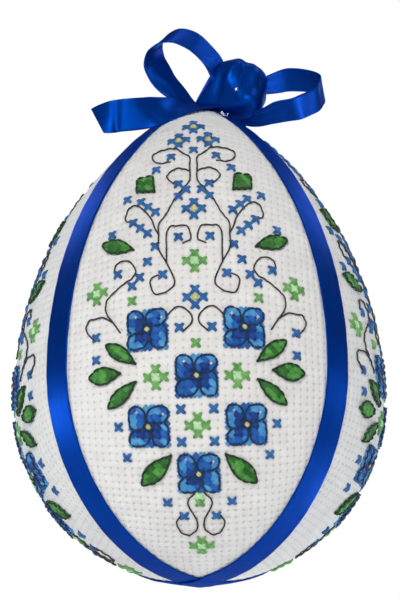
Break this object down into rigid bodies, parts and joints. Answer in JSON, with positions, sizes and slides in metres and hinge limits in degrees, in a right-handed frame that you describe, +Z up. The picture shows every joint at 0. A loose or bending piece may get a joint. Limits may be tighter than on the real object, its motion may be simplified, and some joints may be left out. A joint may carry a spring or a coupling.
{
  "type": "cross-stitched egg ornament",
  "caption": "Egg ornament of four stitched cloth gores over a foam core, with satin ribbon over the seams and a ribbon bow pinned to the tip.",
  "frame": {"origin": "lowest point, on the egg's axis, at the outer face of the ribbon crossing under the egg", "axes": "+Z up the egg's axis towards the tip and the bow; the front gore's middle faces -Y; +X to the right seen from the front"},
  "size_m": [0.0799, 0.08, 0.1272],
  "materials": {
    "foam": "matt expanded foam beads",
    "cloth": "evenweave block cloth",
    "satin_ribbon": "glossy satin weave",
    "pin_steel": "polished",
    "blue_floss": "stranded cotton, soft sheen",
    "outline_floss": "stranded cotton, soft sheen",
    "yellow_floss": "stranded cotton, soft sheen",
    "green_floss": "stranded cotton, soft sheen",
    "mint_floss": "stranded cotton, soft sheen",
    "leaf_floss": "stranded cotton, soft sheen",
    "scroll_floss": "stranded cotton, soft sheen"
  },
  "bodies": {
    "root": {"foam_egg": "foam", "cloth_front": "cloth", "cloth_right": "cloth", "cloth_back": "cloth", "cloth_left": "cloth", "front_blue_floss": "blue_floss", "front_outline_floss": "outline_floss", "front_yellow_floss": "yellow_floss", "front_green_floss": "green_floss", "front_mint_floss": "mint_floss", "front_leaf_floss": "leaf_floss", "front_scroll_floss": "scroll_floss", "right_blue_floss": "blue_floss", "right_outline_floss": "outline_floss", "right_yellow_floss": "yellow_floss", "right_green_floss": "green_floss", "right_mint_floss": "mint_floss", "right_leaf_floss": "leaf_floss", "right_scroll_floss": "scroll_floss", "back_blue_floss": "blue_floss", "back_outline_floss": "outline_floss", "back_yellow_floss": "yellow_floss", "back_green_floss": "green_floss", "back_mint_floss": "mint_floss", "back_leaf_floss": "leaf_floss", "back_scroll_floss": "scroll_floss", "left_blue_floss": "blue_floss", "left_outline_floss": "outline_floss", "left_yellow_floss": "yellow_floss", "left_green_floss": "green_floss", "left_mint_floss": "mint_floss", "left_leaf_floss": "leaf_floss", "left_scroll_floss": "scroll_floss", "seam_ribbon_under": "satin_ribbon", "seam_ribbon_over": "satin_ribbon", "bow_loop_left": "satin_ribbon", "bow_loop_right": "satin_ribbon", "bow_knot": "satin_ribbon", "bow_tail_left": "satin_ribbon", "bow_tail_back": "satin_ribbon", "bow_pin": "pin_steel", "bow_pin_low": "pin_steel"}
  },
  "joints": []
}
